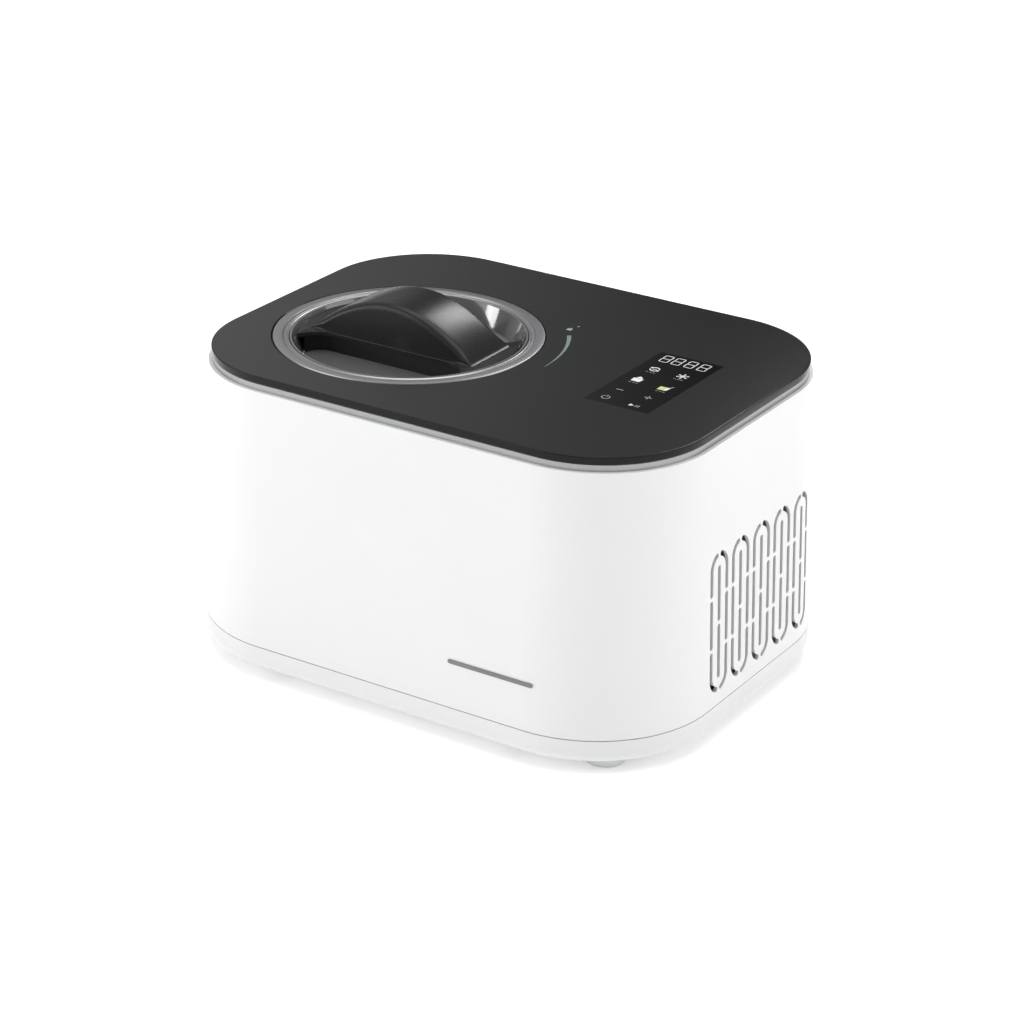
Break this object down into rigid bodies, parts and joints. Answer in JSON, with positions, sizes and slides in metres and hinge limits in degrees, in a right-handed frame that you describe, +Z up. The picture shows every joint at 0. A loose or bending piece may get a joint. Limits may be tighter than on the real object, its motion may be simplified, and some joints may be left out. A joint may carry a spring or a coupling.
{
  "type": "ice cream maker",
  "caption": "Countertop compressor ice cream maker: white casing, dark glass top, twist lid with bar handle, touch display, side vents, lift-out bowl and paddle.",
  "frame": {"origin": "on the ground under the middle of the casing", "axes": "+X along the long side away from the bowl, -Y out of the badge face, +Z up"},
  "size_m": [0.387, 0.296, 0.245],
  "materials": {
    "shell_white": "satin white paint",
    "base_white": "satin white moulding",
    "trim_silver": "satin",
    "top_glass": "dark printed glass, satin top",
    "window_black": "glossy black",
    "badge_grey": "satin",
    "ring_satin": "satin grey",
    "well_plastic": "fine texture",
    "lid_smoke": "smoky clear",
    "handle_black": "satin black",
    "handle_band": "matt black",
    "seal_silicone": "soft",
    "bowl_aluminium": "spun",
    "drum_aluminium": "plain",
    "paddle_plastic": "satin",
    "shaft_steel": "turned",
    "steel_sheet": "zinc plated",
    "screw_steel": "plated",
    "bush_bronze": "sintered",
    "gear_plastic": "moulded",
    "motor_can": "plated",
    "foam": "foamed",
    "copper": "drawn copper",
    "fin_aluminium": "bare",
    "compressor_black": "gloss black paint",
    "grommet_rubber": "soft",
    "black_plastic": "moulded",
    "fan_grey": "moulded",
    "board_green": "solder mask",
    "digit_white": "clear potted segments",
    "component_blue": "potted",
    "foot_grey": "soft pale grey"
  },
  "bodies": {
    "housing": {"base_pan": "base_white", "base_screws": "screw_steel", "bezel_ring": "ring_satin", "board_screws": "screw_steel", "body_shell": "shell_white", "bracket_screws": "screw_steel", "capillary_pipe": "copper", "collar_screws": "screw_steel", "compressor": "compressor_black", "compressor_base": "steel_sheet", "compressor_grommets": "grommet_rubber", "condenser_fins": "fin_aluminium", "condenser_tube": "copper", "cord_gland": "black_plastic", "digit_module": "digit_white", "discharge_pipe": "copper", "display_board": "board_green", "display_window": "window_black", "drive_bracket": "steel_sheet", "drive_motor": "motor_can", "evaporator_coil": "copper", "evaporator_drum": "drum_aluminium", "fan_frame": "black_plastic", "filter_drier": "copper", "foam_insulation": "foam", "foot_front_left": "foot_grey", "foot_front_right": "foot_grey", "foot_rear_left": "foot_grey", "foot_rear_right": "foot_grey", "foot_screws": "screw_steel", "front_badge": "badge_grey", "gear_cover": "black_plastic", "gear_housing": "black_plastic", "glass_top": "top_glass", "power_board": "board_green", "power_components": "component_blue", "shaft_bush_lower": "bush_bronze", "shaft_bush_upper": "bush_bronze", "shaft_seal": "seal_silicone", "suction_pipe": "copper", "terminal_cover": "black_plastic", "top_tray": "steel_sheet", "touch_springs": "shaft_steel", "trim_frame": "trim_silver", "well_collar": "well_plastic"},
    "bowl": {"bowl": "bowl_aluminium"},
    "paddle": {"paddle": "paddle_plastic"},
    "lid_gasket": {"lid_seal": "seal_silicone"},
    "lid": {"lid_cover": "lid_smoke", "lid_handle": "handle_black", "lid_handle_base": "handle_band", "lid_handle_screws": "screw_steel"},
    "drive": {"drive_shaft": "shaft_steel", "output_gear": "gear_plastic"},
    "motor": {"motor_shaft": "shaft_steel", "motor_pinion": "gear_plastic"},
    "fan": {"fan_rotor": "fan_grey"}
  },
  "joints": [
    {"name": "bowl_lift", "type": "slide", "parent": "housing", "child": "bowl", "axis": [0, 0, 1], "range_m": [0, 0.15]},
    {"name": "lid_lift", "type": "slide", "parent": "bowl", "child": "lid_gasket", "axis": [0, 0, 1], "range_m": [0, 0.1]},
    {"name": "lid_turn", "type": "hinge", "parent": "lid_gasket", "child": "lid", "pos_m": [-0.0705, -0.0175, 0.2], "axis": [0, 0, 1], "range_deg": [0, 39]},
    {"name": "drive_spin", "type": "hinge", "parent": "housing", "child": "drive", "pos_m": [-0.0705, -0.0175, 0.1], "axis": [0, 0, 1], "continuous": true},
    {"name": "motor_spin", "type": "hinge", "parent": "housing", "child": "motor", "pos_m": [-0.0285, -0.0175, 0.05], "axis": [0, 0, 1], "continuous": true},
    {"name": "paddle_spin", "type": "hinge", "parent": "bowl", "child": "paddle", "pos_m": [-0.0705, -0.0175, 0.12], "axis": [0, 0, 1], "continuous": true},
    {"name": "fan_spin", "type": "hinge", "parent": "housing", "child": "fan", "pos_m": [0.16, 0.0115, 0.084], "axis": [1, 0, 0], "continuous": true}
  ],
  "couplings": [
    {"joint": "motor_spin", "follows": "drive_spin", "ratio": -3},
    {"joint": "paddle_spin", "follows": "drive_spin", "ratio": 1}
  ]
}
